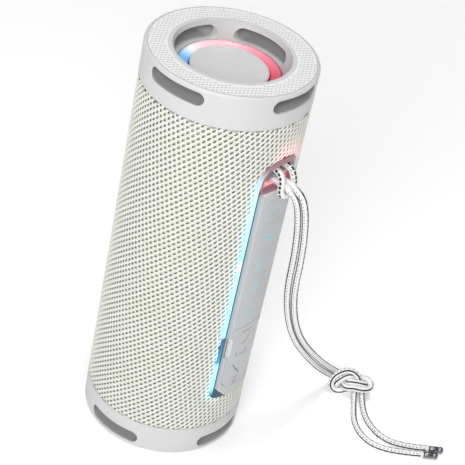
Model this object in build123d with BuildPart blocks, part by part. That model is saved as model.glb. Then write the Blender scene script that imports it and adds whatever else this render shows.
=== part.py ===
from build123d import *
from math import pi, radians, sqrt, tan
import os

os.makedirs("parts", exist_ok=True)

# Portable bluetooth speaker: a fabric covered cylinder that stands on its lower end cap.
# Frame: +Z runs up the axis, the origin is the middle of the foot ring, and the control bar,
# the port cover and the lanyard pocket are on the +X side.  Millimetres.

# ---------------------------------------------------------------- driving dimensions
HEIGHT = 206.0
R_BODY = 39.0
CAP_H = 16.0
MID = Plane.XY.offset(HEIGHT / 2)

HOUSING_R = 37.0
HOUSING_WALL = 3.0
HOUSING_INNER_R = HOUSING_R - HOUSING_WALL
HOUSING_LOW = 10.0
SLEEVE_R = 38.9
SLEEVE_IN_R = 37.2

# end cap
RECESS_R = 26.5
RECESS_FLOOR_R = 23.6
SLOT_LENGTH = 29.2
SLOT_HEIGHT = 6.3
SLOT_Z = HEIGHT - 5.35
SLOT_LIP = 0.5
SLOT_TURN = 2.5
TEXTURE_IN_R = 28.5
TEXTURE_OUT_R = 37.5
CAP_SCREW_R = 33.0

# light ring and passive radiator
LIGHT_RING_R = 20.8
LIGHT_RING_HALF = 2.5
LIGHT_RING_FLAT_Z = HEIGHT - 10.0
RADIATOR_R = 17.8
RADIATOR_TOP_Z = HEIGHT - 8.0

# control bar, light guide and lanyard pocket (all on +X)
BAR_HALF = 10.75
BAR_LOW = 36.0
BAR_HIGH = 155.0
BAR_FRONT_X = 40.8
BAR_CROWN_R = 50.0
BAR_BACK_X = 33.1
BEVEL = 1.1
POCKET_HIGH = 169.7
GUIDE_WALL = 2.0
WINDOW_HALF = BAR_HALF + GUIDE_WALL + 0.3
WINDOW_LOW = BAR_LOW - GUIDE_WALL - 0.3
WINDOW_HIGH = POCKET_HIGH + GUIDE_WALL + 0.3
CORNER = 5.0
ARCH_R = 11.0
BUTTON_Z = [145.2 - 14.5 * i for i in range(5)]
BUTTON_NAMES = ["power", "light", "play", "volume_up", "volume_down"]
BUTTON_SIZE = (15.0, 12.6)
GAP = 0.15
PORTS_LOW = 40.5
PORTS_HIGH = 78.5
PORTS_HALF = 9.75
PORTS_CORNER = 4.3
COVER_HINGE = (39.2, 8.4)
KNUCKLE_R = 1.2
HINGE_RELIEF = 1.0
HINGE_PIN_R = 0.5
HINGE_PIN_LOW = 42.3
HINGE_PIN_LENGTH = 37.4

# sound and power
DRIVER_Z = {"upper": 150.0, "lower": 56.0}
CELL_R = 9.15
CELL_LENGTH = 65.0
CELL_LOW = 70.5
CELL_X = 12.0
CELL_Y = 9.6
BOARD_X = 25.5
BOARD_T = 1.6

# lanyard
CORD_D = 3.2
PIN_X = 35.4
PIN_Z = 161.8
PIN_R = 1.5
POCKET_BACK_X = 29.0


# ---------------------------------------------------------------- helpers
def save(builder, label):
    builder.part.label = label
    export_step(builder.part, f"parts/{label}.step")


def turned(points):
    """Closed outline of (radius, z) points, ready to revolve about Z."""
    with BuildSketch(Plane.XZ) as outline:
        with BuildLine():
            Polyline(*points, close=True)
        make_face()
    return outline.sketch


def racetrack(half_width, low, high, corner, x):
    """Upright rounded rectangle in a plane of constant X."""
    centre = Plane(origin=(x, 0, (low + high) / 2), x_dir=(0, 1, 0), z_dir=(1, 0, 0))
    with BuildSketch(centre) as outline:
        RectangleRounded(2 * half_width, high - low, corner)
    return outline.sketch


def arched(half_width, low, high, corner, x):
    """Upright strip in a plane of constant X; its arched top runs parallel to the window's."""
    centre = Plane(origin=(x, 0, (low + high) / 2), x_dir=(0, 1, 0), z_dir=(1, 0, 0))
    with BuildSketch(centre) as outline:
        Rectangle(2 * half_width, high - low)
        fillet(outline.vertices().group_by(Axis.Y)[0], corner)
        fillet(outline.vertices().group_by(Axis.Y)[-1], ARCH_R - WINDOW_HALF + half_width)
    return outline.sketch


def bar_outline(half_width, low, high, corner, x):
    """The bar's front view: rounded above, with long chamfers below."""
    centre = Plane(origin=(x, 0, (low + high) / 2), x_dir=(0, 1, 0), z_dir=(1, 0, 0))
    with BuildSketch(centre) as outline:
        Rectangle(2 * half_width, high - low)
        chamfer(outline.vertices().group_by(Axis.Y)[0], corner)
        fillet(outline.vertices().group_by(Axis.Y)[-1], 1.0)
    return outline.sketch


def crowned(front_x):
    """Plan section of the control bar: slightly convex in front, bevelled at both edges."""
    edge = front_x - BAR_CROWN_R + sqrt(BAR_CROWN_R**2 - (BAR_HALF - BEVEL) ** 2)
    with BuildSketch(Plane.XY) as section:
        with BuildLine():
            Polyline(
                (0, -BAR_HALF), (edge - BEVEL, -BAR_HALF), (edge, -BAR_HALF + BEVEL), (50, -BAR_HALF + BEVEL),
                (50, BAR_HALF - BEVEL), (edge, BAR_HALF - BEVEL), (edge - BEVEL, BAR_HALF), (0, BAR_HALF),
                close=True,
            )
        make_face()
        with Locations((front_x - BAR_CROWN_R, 0)):
            Circle(BAR_CROWN_R, mode=Mode.INTERSECT)
    return section.sketch


def facing_x(y, z, x):
    """Plane with its normal along +X at a height, so that +Y is to the right."""
    return Plane(origin=(x, y, z), x_dir=(0, 1, 0), z_dir=(1, 0, 0))


def corner_radii(points):
    """Arc radii of a cord: 0.45 of the shorter run over the tangent of half the turn, and
    twice that share of an end run, which no second arc uses."""
    runs = [(after - before).length for before, after in zip(points, points[1:])]
    radii = []
    for i in range(1, len(points) - 1):
        turn = (points[i] - points[i - 1]).get_angle(points[i + 1] - points[i])
        before = runs[i - 1] * (0.9 if i == 1 else 0.45)
        after = runs[i] * (0.9 if i == len(points) - 2 else 0.45)
        radii.append(min(before, after) / tan(radians(turn / 2)))
    return radii


# ---------------------------------------------------------------- end caps and their rings
with BuildPart() as top_end_cap:
    revolve(turned([
        (R_BODY, HEIGHT - CAP_H), (R_BODY, HEIGHT), (TEXTURE_OUT_R, HEIGHT),
        (TEXTURE_OUT_R, HEIGHT - 1), (TEXTURE_IN_R, HEIGHT - 1), (TEXTURE_IN_R, HEIGHT),
        (RECESS_R, HEIGHT), (RECESS_FLOOR_R, HEIGHT - 8.4), (RECESS_FLOOR_R, HEIGHT - 12),
        (25.4, HEIGHT - 12), (25.4, HEIGHT - 9.8), (37.1, HEIGHT - 9.8), (37.1, HEIGHT - CAP_H),
    ]), axis=Axis.Z)
    fillet(top_end_cap.edges().filter_by(GeomType.CIRCLE).group_by(SortBy.RADIUS)[-1].sort_by(Axis.Z)[-1], 1.3)
    for angle in (SLOT_TURN, SLOT_TURN + 90):
        with BuildSketch(Plane(origin=(0, 0, SLOT_Z), x_dir=(0, 1, 0), z_dir=(1, 0, 0)).rotated((0, 0, angle))):
            SlotOverall(SLOT_LENGTH, SLOT_HEIGHT)
        extrude(amount=R_BODY + 2, both=True, mode=Mode.SUBTRACT)
    outer_wall = top_end_cap.faces().filter_by(GeomType.CYLINDER).sort_by(lambda face: face.radius)[-1]
    mouth = SLOT_HEIGHT / 2 + 0.1
    fillet(outer_wall.edges().filter_by_position(Axis.Z, SLOT_Z - mouth, SLOT_Z + mouth), SLOT_LIP)
    with BuildSketch(Plane.XY.offset(HEIGHT - 1)):
        with PolarLocations(CAP_SCREW_R, 4, start_angle=45):
            Circle(1.15)
    extrude(amount=-10, mode=Mode.SUBTRACT)
    with BuildSketch(Plane.XY.offset(HEIGHT - 1)):
        with PolarLocations(CAP_SCREW_R, 4, start_angle=45):
            Circle(2.2)
    extrude(amount=-3.5, mode=Mode.SUBTRACT)
save(top_end_cap, "top_end_cap")

with BuildPart() as bottom_end_cap:
    mirror(top_end_cap.part, about=MID)
    with BuildSketch(Plane.XY):
        Circle(R_BODY + 1)
    extrude(amount=0.4, mode=Mode.SUBTRACT)
save(bottom_end_cap, "bottom_end_cap")

with BuildPart() as top_texture_ring:
    with BuildSketch(Plane.XY.offset(HEIGHT - 1)):
        Circle(TEXTURE_OUT_R)
        Circle(TEXTURE_IN_R, mode=Mode.SUBTRACT)
    extrude(amount=1)
save(top_texture_ring, "top_texture_ring")

with BuildPart() as bottom_foot_ring:
    mirror(top_texture_ring.part, about=MID)
save(bottom_foot_ring, "bottom_foot_ring")

with BuildPart() as top_light_ring:
    with BuildSketch(Plane.XZ):
        with Locations((LIGHT_RING_R, LIGHT_RING_FLAT_Z - 0.7)):
            Rectangle(2 * LIGHT_RING_HALF, 1.4)
        with Locations((LIGHT_RING_R, LIGHT_RING_FLAT_Z)):
            Circle(LIGHT_RING_HALF)
        with Locations((LIGHT_RING_R, LIGHT_RING_FLAT_Z - 2.4)):
            Rectangle(6, 2, mode=Mode.SUBTRACT)
    revolve(axis=Axis.Z)
save(top_light_ring, "top_light_ring")

with BuildPart() as bottom_light_ring:
    mirror(top_light_ring.part, about=MID)
save(bottom_light_ring, "bottom_light_ring")

with BuildPart() as top_led_board:
    with BuildSketch(Plane.XY.offset(HEIGHT - 13.4)):
        Circle(23.3)
        Circle(18.8, mode=Mode.SUBTRACT)
    extrude(amount=1.0)
save(top_led_board, "top_led_board")

with BuildPart() as bottom_led_board:
    mirror(top_led_board.part, about=MID)
save(bottom_led_board, "bottom_led_board")


# ---------------------------------------------------------------- passive radiators
with BuildPart() as top_radiator_frame:
    revolve(turned([
        (25.2, HEIGHT - 20), (33.9, HEIGHT - 20), (33.9, HEIGHT - 16.4), (27, HEIGHT - 16.4),
        (27, HEIGHT - 13.4), (18.7, HEIGHT - 13.4), (18.7, HEIGHT - 14.4), (25.2, HEIGHT - 14.4),
    ]), axis=Axis.Z)
    with BuildSketch(Plane.XY.offset(HEIGHT - 21)):
        with PolarLocations(CAP_SCREW_R, 4, start_angle=45):
            Circle(3.3)
    extrude(amount=6, mode=Mode.SUBTRACT)
save(top_radiator_frame, "top_radiator_frame")

with BuildPart() as bottom_radiator_frame:
    mirror(top_radiator_frame.part, about=MID)
save(bottom_radiator_frame, "bottom_radiator_frame")

with BuildPart() as top_radiator_disc:
    revolve(turned([
        (0, RADIATOR_TOP_Z), (RADIATOR_R - 0.6, RADIATOR_TOP_Z), (RADIATOR_R, RADIATOR_TOP_Z - 0.6),
        (RADIATOR_R, RADIATOR_TOP_Z - 1.8), (16, RADIATOR_TOP_Z - 1.8), (16, RADIATOR_TOP_Z - 7.4),
        (14, RADIATOR_TOP_Z - 7.4), (14, RADIATOR_TOP_Z - 1.8), (0, RADIATOR_TOP_Z - 1.8),
    ]), axis=Axis.Z)
save(top_radiator_disc, "top_radiator_disc")

with BuildPart() as bottom_radiator_disc:
    mirror(top_radiator_disc.part, about=MID)
save(bottom_radiator_disc, "bottom_radiator_disc")

SURROUND_TOP = HEIGHT - 14.4
with BuildPart() as top_radiator_surround:
    with BuildSketch(Plane.XZ):
        with Locations((20.4, SURROUND_TOP - 0.8)):
            Circle(2.8)
            Circle(2.1, mode=Mode.SUBTRACT)
        with Locations((20.4, SURROUND_TOP + 1.2)):
            Rectangle(8, 4, mode=Mode.SUBTRACT)
        with Locations((17.1, SURROUND_TOP - 0.9)):
            Rectangle(2.2, 0.8)
        with Locations((24.0, SURROUND_TOP - 0.4)):
            Rectangle(2.4, 0.8)
        with Locations((22.85, SURROUND_TOP - 0.9)):
            Rectangle(0.7, 0.8)
    revolve(axis=Axis.Z)
save(top_radiator_surround, "top_radiator_surround")

with BuildPart() as bottom_radiator_surround:
    mirror(top_radiator_surround.part, about=MID)
save(bottom_radiator_surround, "bottom_radiator_surround")

# ---------------------------------------------------------------- housing shells
SEAM_SCREW_Y = 30.2
SEAM_SCREW_Z = (24.0, 103.0, 182.0)
SCREW_SEAT_X = 7.0


def half_section(side, outer, inner):
    """Half of an annulus, on the -X or +X side of the seam plane."""
    with BuildSketch(Plane.XY.offset(HOUSING_LOW)) as section:
        Circle(outer)
        Circle(inner, mode=Mode.SUBTRACT)
        with Locations((side * 50, 0)):
            Rectangle(100, 100, mode=Mode.INTERSECT)
    return section.sketch


def boss_sections(z, side, radius):
    """Discs for the four cap screw bosses at one end, on one side of the seam."""
    with BuildSketch(Plane.XY.offset(z)) as section:
        with PolarLocations(CAP_SCREW_R, 4, start_angle=45):
            Circle(radius)
        with Locations((side * 50, 0)):
            Rectangle(100, 100, mode=Mode.INTERSECT)
    return section.sketch


def seam_screw_discs(x, radius):
    """Discs for the six screws that run along X through the seam."""
    with BuildSketch(Plane.YZ.offset(x)) as section:
        for z in SEAM_SCREW_Z:
            with Locations((-SEAM_SCREW_Y, z), (SEAM_SCREW_Y, z)):
                Circle(radius)
    return section.sketch


with BuildPart() as front_housing:
    extrude(half_section(-1, HOUSING_R, HOUSING_INNER_R), amount=HEIGHT - 2 * HOUSING_LOW)
    extrude(boss_sections(HOUSING_LOW, -1, 3.0), amount=20)
    extrude(boss_sections(HEIGHT - HOUSING_LOW - 20, -1, 3.0), amount=20)
    with BuildSketch(Plane.XY.offset(21)):
        with Locations((-22, 0)):
            Rectangle(2, 80)
        Circle(HOUSING_INNER_R + 0.5, mode=Mode.INTERSECT)
    extrude(amount=HEIGHT - 42)
    extrude(seam_screw_discs(-10, 3.2), amount=10)
    extrude(seam_screw_discs(-9, 1.05), amount=9, mode=Mode.SUBTRACT)
    for z in DRIVER_Z.values():
        with BuildSketch(Plane.YZ.offset(-20)):
            with Locations((0, z)):
                Circle(23)
        extrude(amount=-20, mode=Mode.SUBTRACT)
    extrude(boss_sections(HOUSING_LOW, -1, 1.0), amount=18, mode=Mode.SUBTRACT)
    extrude(boss_sections(HEIGHT - HOUSING_LOW - 18, -1, 1.0), amount=18, mode=Mode.SUBTRACT)
save(front_housing, "front_housing")

with BuildPart() as rear_housing:
    extrude(half_section(1, HOUSING_R, HOUSING_INNER_R), amount=HEIGHT - 2 * HOUSING_LOW)
    extrude(boss_sections(HOUSING_LOW, 1, 3.0), amount=20)
    extrude(boss_sections(HEIGHT - HOUSING_LOW - 20, 1, 3.0), amount=20)
    extrude(seam_screw_discs(0, 3.2), amount=22)
    with BuildSketch(Plane.XY.offset(HOUSING_LOW)):
        Circle(HOUSING_R)
    extrude(amount=HEIGHT - 2 * HOUSING_LOW, mode=Mode.INTERSECT)
    extrude(seam_screw_discs(0, 1.3), amount=24, mode=Mode.SUBTRACT)
    extrude(seam_screw_discs(SCREW_SEAT_X, 2.5), amount=24, mode=Mode.SUBTRACT)
    extrude(arched(WINDOW_HALF, WINDOW_LOW, WINDOW_HIGH, CORNER, 20), amount=30, mode=Mode.SUBTRACT)
    extrude(boss_sections(HOUSING_LOW, 1, 1.0), amount=18, mode=Mode.SUBTRACT)
    extrude(boss_sections(HEIGHT - HOUSING_LOW - 18, 1, 1.0), amount=18, mode=Mode.SUBTRACT)
save(rear_housing, "rear_housing")

with BuildPart() as mesh_sleeve:
    with BuildSketch(Plane.XY.offset(CAP_H + 0.1)):
        Circle(SLEEVE_R)
        Circle(SLEEVE_IN_R, mode=Mode.SUBTRACT)
    extrude(amount=HEIGHT - 2 * CAP_H - 0.2)
    extrude(arched(WINDOW_HALF, WINDOW_LOW, WINDOW_HIGH, CORNER, 20), amount=30, mode=Mode.SUBTRACT)
save(mesh_sleeve, "mesh_sleeve")

with BuildPart() as seam_gasket:
    with BuildSketch(Plane.XY.offset(HOUSING_LOW + 10.2)):
        with Locations((0, HOUSING_INNER_R - 0.45), (0, -HOUSING_INNER_R + 0.45)):
            Rectangle(3, 0.7)
    extrude(amount=HEIGHT - 2 * HOUSING_LOW - 20.4)
    extrude(seam_screw_discs(-5, 3.4), amount=10, mode=Mode.SUBTRACT)
save(seam_gasket, "seam_gasket")

with BuildPart() as screws:
    with BuildSketch(Plane.XY.offset(HEIGHT - 4.5)):
        with PolarLocations(CAP_SCREW_R, 4, start_angle=45):
            Circle(2.0)
    extrude(amount=1.5)
    with BuildSketch(Plane.XY.offset(HEIGHT - 4.5)):
        with PolarLocations(CAP_SCREW_R, 4, start_angle=45):
            Circle(0.95)
    extrude(amount=-20)
    mirror(about=MID)
    extrude(seam_screw_discs(SCREW_SEAT_X, 2.3), amount=1.6)
    extrude(seam_screw_discs(SCREW_SEAT_X, 1.0), amount=-15)
save(screws, "screws")

# ---------------------------------------------------------------- control bar and light guide
with BuildPart() as light_guide:
    extrude(arched(WINDOW_HALF - 0.3, WINDOW_LOW + 0.3, WINDOW_HIGH - 0.3, CORNER, BAR_BACK_X + 0.9), amount=8)
    extrude(bar_outline(BAR_HALF + 0.05, BAR_LOW - 0.05, BAR_HIGH, CORNER, BAR_BACK_X),
            amount=12, mode=Mode.SUBTRACT)
    extrude(arched(BAR_HALF + 0.05, BAR_HIGH - 10, POCKET_HIGH + 0.05, 1.0, BAR_BACK_X),
            amount=12, mode=Mode.SUBTRACT)
    with BuildSketch(Plane.XY):
        Circle(R_BODY + 0.2)
    extrude(amount=HEIGHT, mode=Mode.INTERSECT)
save(light_guide, "light_guide")

with BuildPart() as leds:
    with BuildSketch(Plane.XY.offset(HEIGHT - 12.4)):
        with PolarLocations(LIGHT_RING_R, 12):
            Rectangle(2.0, 2.0)
    extrude(amount=0.8)
    mirror(about=MID)
    with BuildSketch(Plane.YZ.offset(BAR_BACK_X)):
        for y in (-BAR_HALF - 1.05, BAR_HALF + 1.05):
            with Locations(*[(y, 45 + 19.0 * i) for i in range(7)]):
                Rectangle(1.5, 3.2)
    extrude(amount=0.8)
save(leds, "leds")

with BuildPart() as control_carrier:
    extrude(arched(WINDOW_HALF - 0.2, WINDOW_LOW + 0.2, WINDOW_HIGH - 0.2, CORNER, 31.0), amount=2.0)
    extrude(racetrack(8.8, PORTS_LOW + 0.5, PORTS_HIGH - 0.5, 1.0, 30.0), amount=5, mode=Mode.SUBTRACT)
    extrude(arched(BAR_HALF - 0.05, BAR_HIGH + 0.2, POCKET_HIGH, 1.0, 30.0), amount=5, mode=Mode.SUBTRACT)
save(control_carrier, "control_carrier")

with BuildPart() as control_bar:
    extrude(bar_outline(BAR_HALF, BAR_LOW, BAR_HIGH, CORNER, BAR_BACK_X), amount=10)
    extrude(crowned(BAR_FRONT_X), amount=HEIGHT, mode=Mode.INTERSECT)
    extrude(racetrack(BAR_HALF - 1.4, 80.2, BAR_HIGH - 1.4, 1.0, BAR_BACK_X - 1), amount=6.4, mode=Mode.SUBTRACT)
    for z in BUTTON_Z:
        with BuildSketch(facing_x(0, z, 36)):
            RectangleRounded(*BUTTON_SIZE, 2.5)
        extrude(amount=6, mode=Mode.SUBTRACT)
    extrude(bar_outline(PORTS_HALF, PORTS_LOW, PORTS_HIGH, PORTS_CORNER, BAR_BACK_X - 1), amount=10,
            mode=Mode.SUBTRACT)
    with BuildSketch(facing_x(-BAR_HALF, 67, 38.0)):
        SlotOverall(12, 4, rotation=90)
    extrude(amount=6, mode=Mode.SUBTRACT)
    with BuildSketch(Plane.XY.offset(HINGE_PIN_LOW)):
        with Locations(COVER_HINGE):
            Circle(HINGE_PIN_R)
    extrude(amount=HINGE_PIN_LENGTH, mode=Mode.SUBTRACT)
save(control_bar, "control_bar")

for name, z in zip(BUTTON_NAMES, BUTTON_Z):
    with BuildPart() as button:
        with BuildSketch(facing_x(0, z, 37.0)):
            RectangleRounded(BUTTON_SIZE[0] - 2 * GAP, BUTTON_SIZE[1] - 2 * GAP, 2.35)
        extrude(amount=6)
        extrude(crowned(BAR_FRONT_X), amount=HEIGHT, mode=Mode.INTERSECT)
        with BuildSketch(facing_x(0, z, 37.0)):
            RectangleRounded(BUTTON_SIZE[0] + 1.4, BUTTON_SIZE[1] + 1.2, 2.5)
        extrude(amount=1.2)
        with BuildSketch(facing_x(0, z, 36.6)):
            Circle(2.0)
        extrude(amount=0.6)
    save(button, f"{name}_button")

with BuildPart() as button_board:
    with BuildSketch(facing_x(0, 117, BAR_BACK_X + 0.1)):
        Rectangle(17, 72)
    extrude(amount=1.0)
save(button_board, "button_board")

with BuildPart() as tact_switches:
    with BuildSketch(Plane.YZ.offset(BAR_BACK_X + 1.1)):
        with Locations(*[(0, z) for z in BUTTON_Z]):
            Rectangle(5.2, 5.2)
    extrude(amount=1.3)
    with BuildSketch(Plane.YZ.offset(BAR_BACK_X + 2.4)):
        with Locations(*[(0, z) for z in BUTTON_Z]):
            Circle(1.3)
    extrude(amount=0.45)
save(tact_switches, "tact_switches")

# ---------------------------------------------------------------- port cover and ports
with BuildPart() as port_cover:
    extrude(bar_outline(PORTS_HALF - 0.35, PORTS_LOW + 0.3, PORTS_HIGH - 0.5, PORTS_CORNER + 0.1, 38.1), amount=5)
    with BuildSketch(facing_x(COVER_HINGE[1], PORTS_LOW + PORTS_CORNER, 37)):
        Rectangle(2 * HINGE_RELIEF, 3 * HINGE_RELIEF)
    extrude(amount=8, mode=Mode.SUBTRACT)
    with BuildSketch(Plane.XY):
        with Locations((BAR_FRONT_X - BAR_CROWN_R, 0)):
            Circle(BAR_CROWN_R)
        with Locations((COVER_HINGE[0], 50)):
            Rectangle(10, 100 - 2 * COVER_HINGE[1], mode=Mode.SUBTRACT)
    extrude(amount=HEIGHT, mode=Mode.INTERSECT)
    with BuildSketch(Plane.XY.offset(HINGE_PIN_LOW + 3.2)):
        with Locations(COVER_HINGE):
            Circle(KNUCKLE_R)
    extrude(amount=PORTS_HIGH - HINGE_PIN_LOW - 4.4)
    with BuildSketch(Plane.XY.offset(HINGE_PIN_LOW)):
        with Locations(COVER_HINGE):
            Circle(HINGE_PIN_R + 0.04)
    extrude(amount=HINGE_PIN_LENGTH, mode=Mode.SUBTRACT)
    with BuildSketch(facing_x(-BAR_HALF, 67, 39.4)):
        SlotOverall(12, 5.5, rotation=90)
    extrude(amount=6, mode=Mode.SUBTRACT)
save(port_cover, "port_cover")

with BuildPart() as port_cover_seal:
    extrude(racetrack(6.6, PORTS_LOW + 1.6, PORTS_HIGH - 1.4, 2.0, 36.2), amount=1.9)
save(port_cover_seal, "port_cover_seal")

with BuildPart() as port_cover_pin:
    with BuildSketch(Plane.XY.offset(HINGE_PIN_LOW)):
        with Locations(COVER_HINGE):
            Circle(HINGE_PIN_R)
    extrude(amount=HINGE_PIN_LENGTH)
save(port_cover_pin, "port_cover_pin")

USB_A = (-3.6, 69.0)
CARD = (4.6, 68.5)
USB_C = (-3.6, 51.0)
JACK = (3.2, 48.5)
JACK_BORE_R = 1.8
PANEL_X = 34.6
SOCKET_BACK_X = BOARD_X + BOARD_T
with BuildPart() as port_panel:
    extrude(bar_outline(PORTS_HALF - 0.1, PORTS_LOW + 0.1, PORTS_HIGH - 0.1, PORTS_CORNER, BAR_BACK_X + 0.1),
            amount=PANEL_X - BAR_BACK_X - 0.1)
    with BuildSketch(Plane.YZ.offset(BAR_BACK_X)):
        with Locations(USB_A):
            Rectangle(5.8, 13.2)
        with Locations(CARD):
            Rectangle(2.4, 14.2)
        with Locations(USB_C):
            SlotOverall(9.1, 3.4, rotation=90)
        with Locations(JACK):
            Circle(3.05)
    extrude(amount=5, mode=Mode.SUBTRACT)
save(port_panel, "port_panel")

with BuildPart() as usb_a_socket:
    with BuildSketch(Plane.YZ.offset(SOCKET_BACK_X)):
        with Locations(USB_A):
            Rectangle(5.6, 13.0)
    extrude(amount=PANEL_X - SOCKET_BACK_X)
    with BuildSketch(Plane.YZ.offset(SOCKET_BACK_X + 0.6)):
        with Locations(USB_A):
            Rectangle(5.0, 12.4)
        with Locations((USB_A[0] - 1.1, USB_A[1])):
            Rectangle(1.8, 11.0, mode=Mode.SUBTRACT)
    extrude(amount=10, mode=Mode.SUBTRACT)
save(usb_a_socket, "usb_a_socket")

with BuildPart() as card_slot:
    with BuildSketch(Plane.YZ.offset(SOCKET_BACK_X)):
        with Locations(CARD):
            Rectangle(2.2, 14.0)
    extrude(amount=PANEL_X - SOCKET_BACK_X)
    with BuildSketch(Plane.YZ.offset(SOCKET_BACK_X + 0.8)):
        with Locations(CARD):
            Rectangle(1.0, 11.4)
    extrude(amount=10, mode=Mode.SUBTRACT)
save(card_slot, "card_slot")

with BuildPart() as usb_c_socket:
    with BuildSketch(Plane.YZ.offset(SOCKET_BACK_X)):
        with Locations(USB_C):
            SlotOverall(8.9, 3.2, rotation=90)
    extrude(amount=PANEL_X - SOCKET_BACK_X)
    with BuildSketch(Plane.YZ.offset(SOCKET_BACK_X + 0.8)):
        with Locations(USB_C):
            SlotOverall(8.3, 2.6, rotation=90)
            Rectangle(0.7, 6.4, mode=Mode.SUBTRACT)
    extrude(amount=10, mode=Mode.SUBTRACT)
save(usb_c_socket, "usb_c_socket")

with BuildPart() as aux_jack:
    with BuildSketch(Plane.YZ.offset(SOCKET_BACK_X)):
        with Locations(JACK):
            Circle(2.95)
    extrude(amount=PANEL_X - SOCKET_BACK_X)
    with BuildSketch(Plane.YZ.offset(SOCKET_BACK_X + 1.0)):
        with Locations(JACK):
            Circle(JACK_BORE_R)
    extrude(amount=10, mode=Mode.SUBTRACT)
save(aux_jack, "aux_jack")

# ---------------------------------------------------------------- electronics and battery
with BuildPart() as main_board:
    with BuildSketch(facing_x(0, 93, BOARD_X)):
        RectangleRounded(30, 116, 2)
    extrude(amount=BOARD_T)
save(main_board, "main_board")

with BuildPart() as board_chips:
    with BuildSketch(Plane.YZ.offset(BOARD_X + BOARD_T)):
        with Locations((0, 95), (-8, 118), (8, 118)):
            Rectangle(7, 7)
        with Locations((-8, 136), (8, 136)):
            Rectangle(5, 9)
        with Locations((9.5, 96), (-9.5, 96)):
            Circle(3.0)
    extrude(amount=2.2)
save(board_chips, "board_chips")

for number, y in (("1", -CELL_Y), ("2", CELL_Y)):
    with BuildPart() as cell:
        with BuildSketch(Plane.XY.offset(CELL_LOW)):
            with Locations((CELL_X, y)):
                Circle(CELL_R)
        extrude(amount=CELL_LENGTH - 1.2)
        with BuildSketch(Plane.XY.offset(CELL_LOW + CELL_LENGTH - 1.2)):
            with Locations((CELL_X, y)):
                Circle(3.2)
        extrude(amount=1.2)
    save(cell, f"battery_cell_{number}")

with BuildPart() as battery_holder:
    with BuildSketch(Plane.XY.offset(CELL_LOW + 2)):
        with Locations((18.7, 0)):
            Rectangle(13.4, 40)
        with Locations((CELL_X, -CELL_Y), (CELL_X, CELL_Y)):
            Circle(CELL_R + 0.1, mode=Mode.SUBTRACT)
    extrude(amount=CELL_LENGTH - 5)
save(battery_holder, "battery_holder")

# ---------------------------------------------------------------- loudspeaker drivers
DOME_X = -6.1
DOME_R = 11.1
for name, zc in DRIVER_Z.items():
    motor_axis = Axis((0, 0, zc), (1, 0, 0))

    with BuildPart() as basket:
        with BuildSketch(Plane.XZ):
            with BuildLine():
                Polyline(
                    (-21, zc + 25.4), (-19.4, zc + 25.4), (-19.4, zc + 24.2), (-8, zc + 16), (-6.8, zc + 16),
                    (-6.8, zc + 7.6), (-8.2, zc + 7.6), (-8.2, zc + 13.6), (-18.8, zc + 20.6),
                    (-20.2, zc + 20.6), (-20.2, zc + 22.8), (-21, zc + 22.8), close=True,
                )
            make_face()
        revolve(axis=motor_axis)
        for turn in (30, 90, 150):
            with Locations(Location((-13.4, 0, zc), (turn, 0, 0))):
                Cylinder(3.4, 60, mode=Mode.SUBTRACT)
    save(basket, f"{name}_driver_basket")

    with BuildPart() as magnet:
        with BuildSketch(Plane.XZ):
            with Locations((-5.8, zc + 11.45)):
                Rectangle(2.0, 8.1)
        revolve(axis=motor_axis)
        with BuildSketch(Plane.XZ):
            with Locations((-2.1, zc + 12.25)):
                Rectangle(5.4, 7.5)
        revolve(axis=motor_axis)
        with BuildSketch(Plane.XZ):
            with BuildLine():
                Polyline(
                    (-6.8, zc), (-6.8, zc + 5.4), (0.6, zc + 5.4), (0.6, zc + 15.5), (2.4, zc + 15.5), (2.4, zc),
                    close=True,
                )
            make_face()
        revolve(axis=motor_axis)
    save(magnet, f"{name}_driver_magnet")

    with BuildPart() as cone:
        with BuildSketch(Plane.XZ):
            with Locations((DOME_X, zc)):
                Circle(DOME_R)
                Circle(DOME_R - 0.7, mode=Mode.SUBTRACT)
            with Locations((-16.2, zc + 3.8)):
                Rectangle(4, 7.6, mode=Mode.INTERSECT)
            with BuildLine():
                Polyline(
                    (-14.2, zc + 7.6), (-20.4, zc + 16.6), (-19.6, zc + 16.6), (-13.2, zc + 7.0),
                    (-13.2, zc + 6.7), (-2.6, zc + 6.7), (-2.6, zc + 5.9), (-14.6, zc + 5.9), close=True,
                )
            make_face()
        revolve(axis=motor_axis)
    save(cone, f"{name}_driver_cone")

    with BuildPart() as suspension:
        with BuildSketch(Plane.XZ):
            with Locations((-20.6, zc + 18.6)):
                Circle(2.0)
                Circle(1.5, mode=Mode.SUBTRACT)
            with Locations((-18.6, zc + 18.6)):
                Rectangle(4, 5, mode=Mode.SUBTRACT)
            with Locations((-20.6, zc + 21.6)):
                Rectangle(0.8, 2.2)
            with Locations((-20.4, zc + 16.85)):
                Rectangle(0.8, 0.5)
        revolve(axis=motor_axis)
        with BuildSketch(Plane.XZ):
            with Locations((-8.8, zc + 10.2)):
                Rectangle(0.4, 6.8)
        revolve(axis=motor_axis)
    save(suspension, f"{name}_driver_suspension")

# ---------------------------------------------------------------- lanyard pocket, pin and cord
with BuildPart() as lanyard_pocket:
    extrude(arched(BAR_HALF - 0.15, BAR_HIGH + 0.3, POCKET_HIGH - 0.1, 1.0, POCKET_BACK_X), amount=11)
    with BuildSketch(Plane.XY):
        Circle(R_BODY - 0.1)
    extrude(amount=HEIGHT, mode=Mode.INTERSECT)
    extrude(arched(BAR_HALF - 1.35, BAR_HIGH + 1.3, POCKET_HIGH - 1.3, 1.0, POCKET_BACK_X + 1.2),
            amount=11, mode=Mode.SUBTRACT)
    with BuildSketch(Plane.XZ.offset(-20)):
        with Locations((PIN_X, PIN_Z)):
            Circle(PIN_R)
    extrude(amount=40, mode=Mode.SUBTRACT)
save(lanyard_pocket, "lanyard_pocket")

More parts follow.
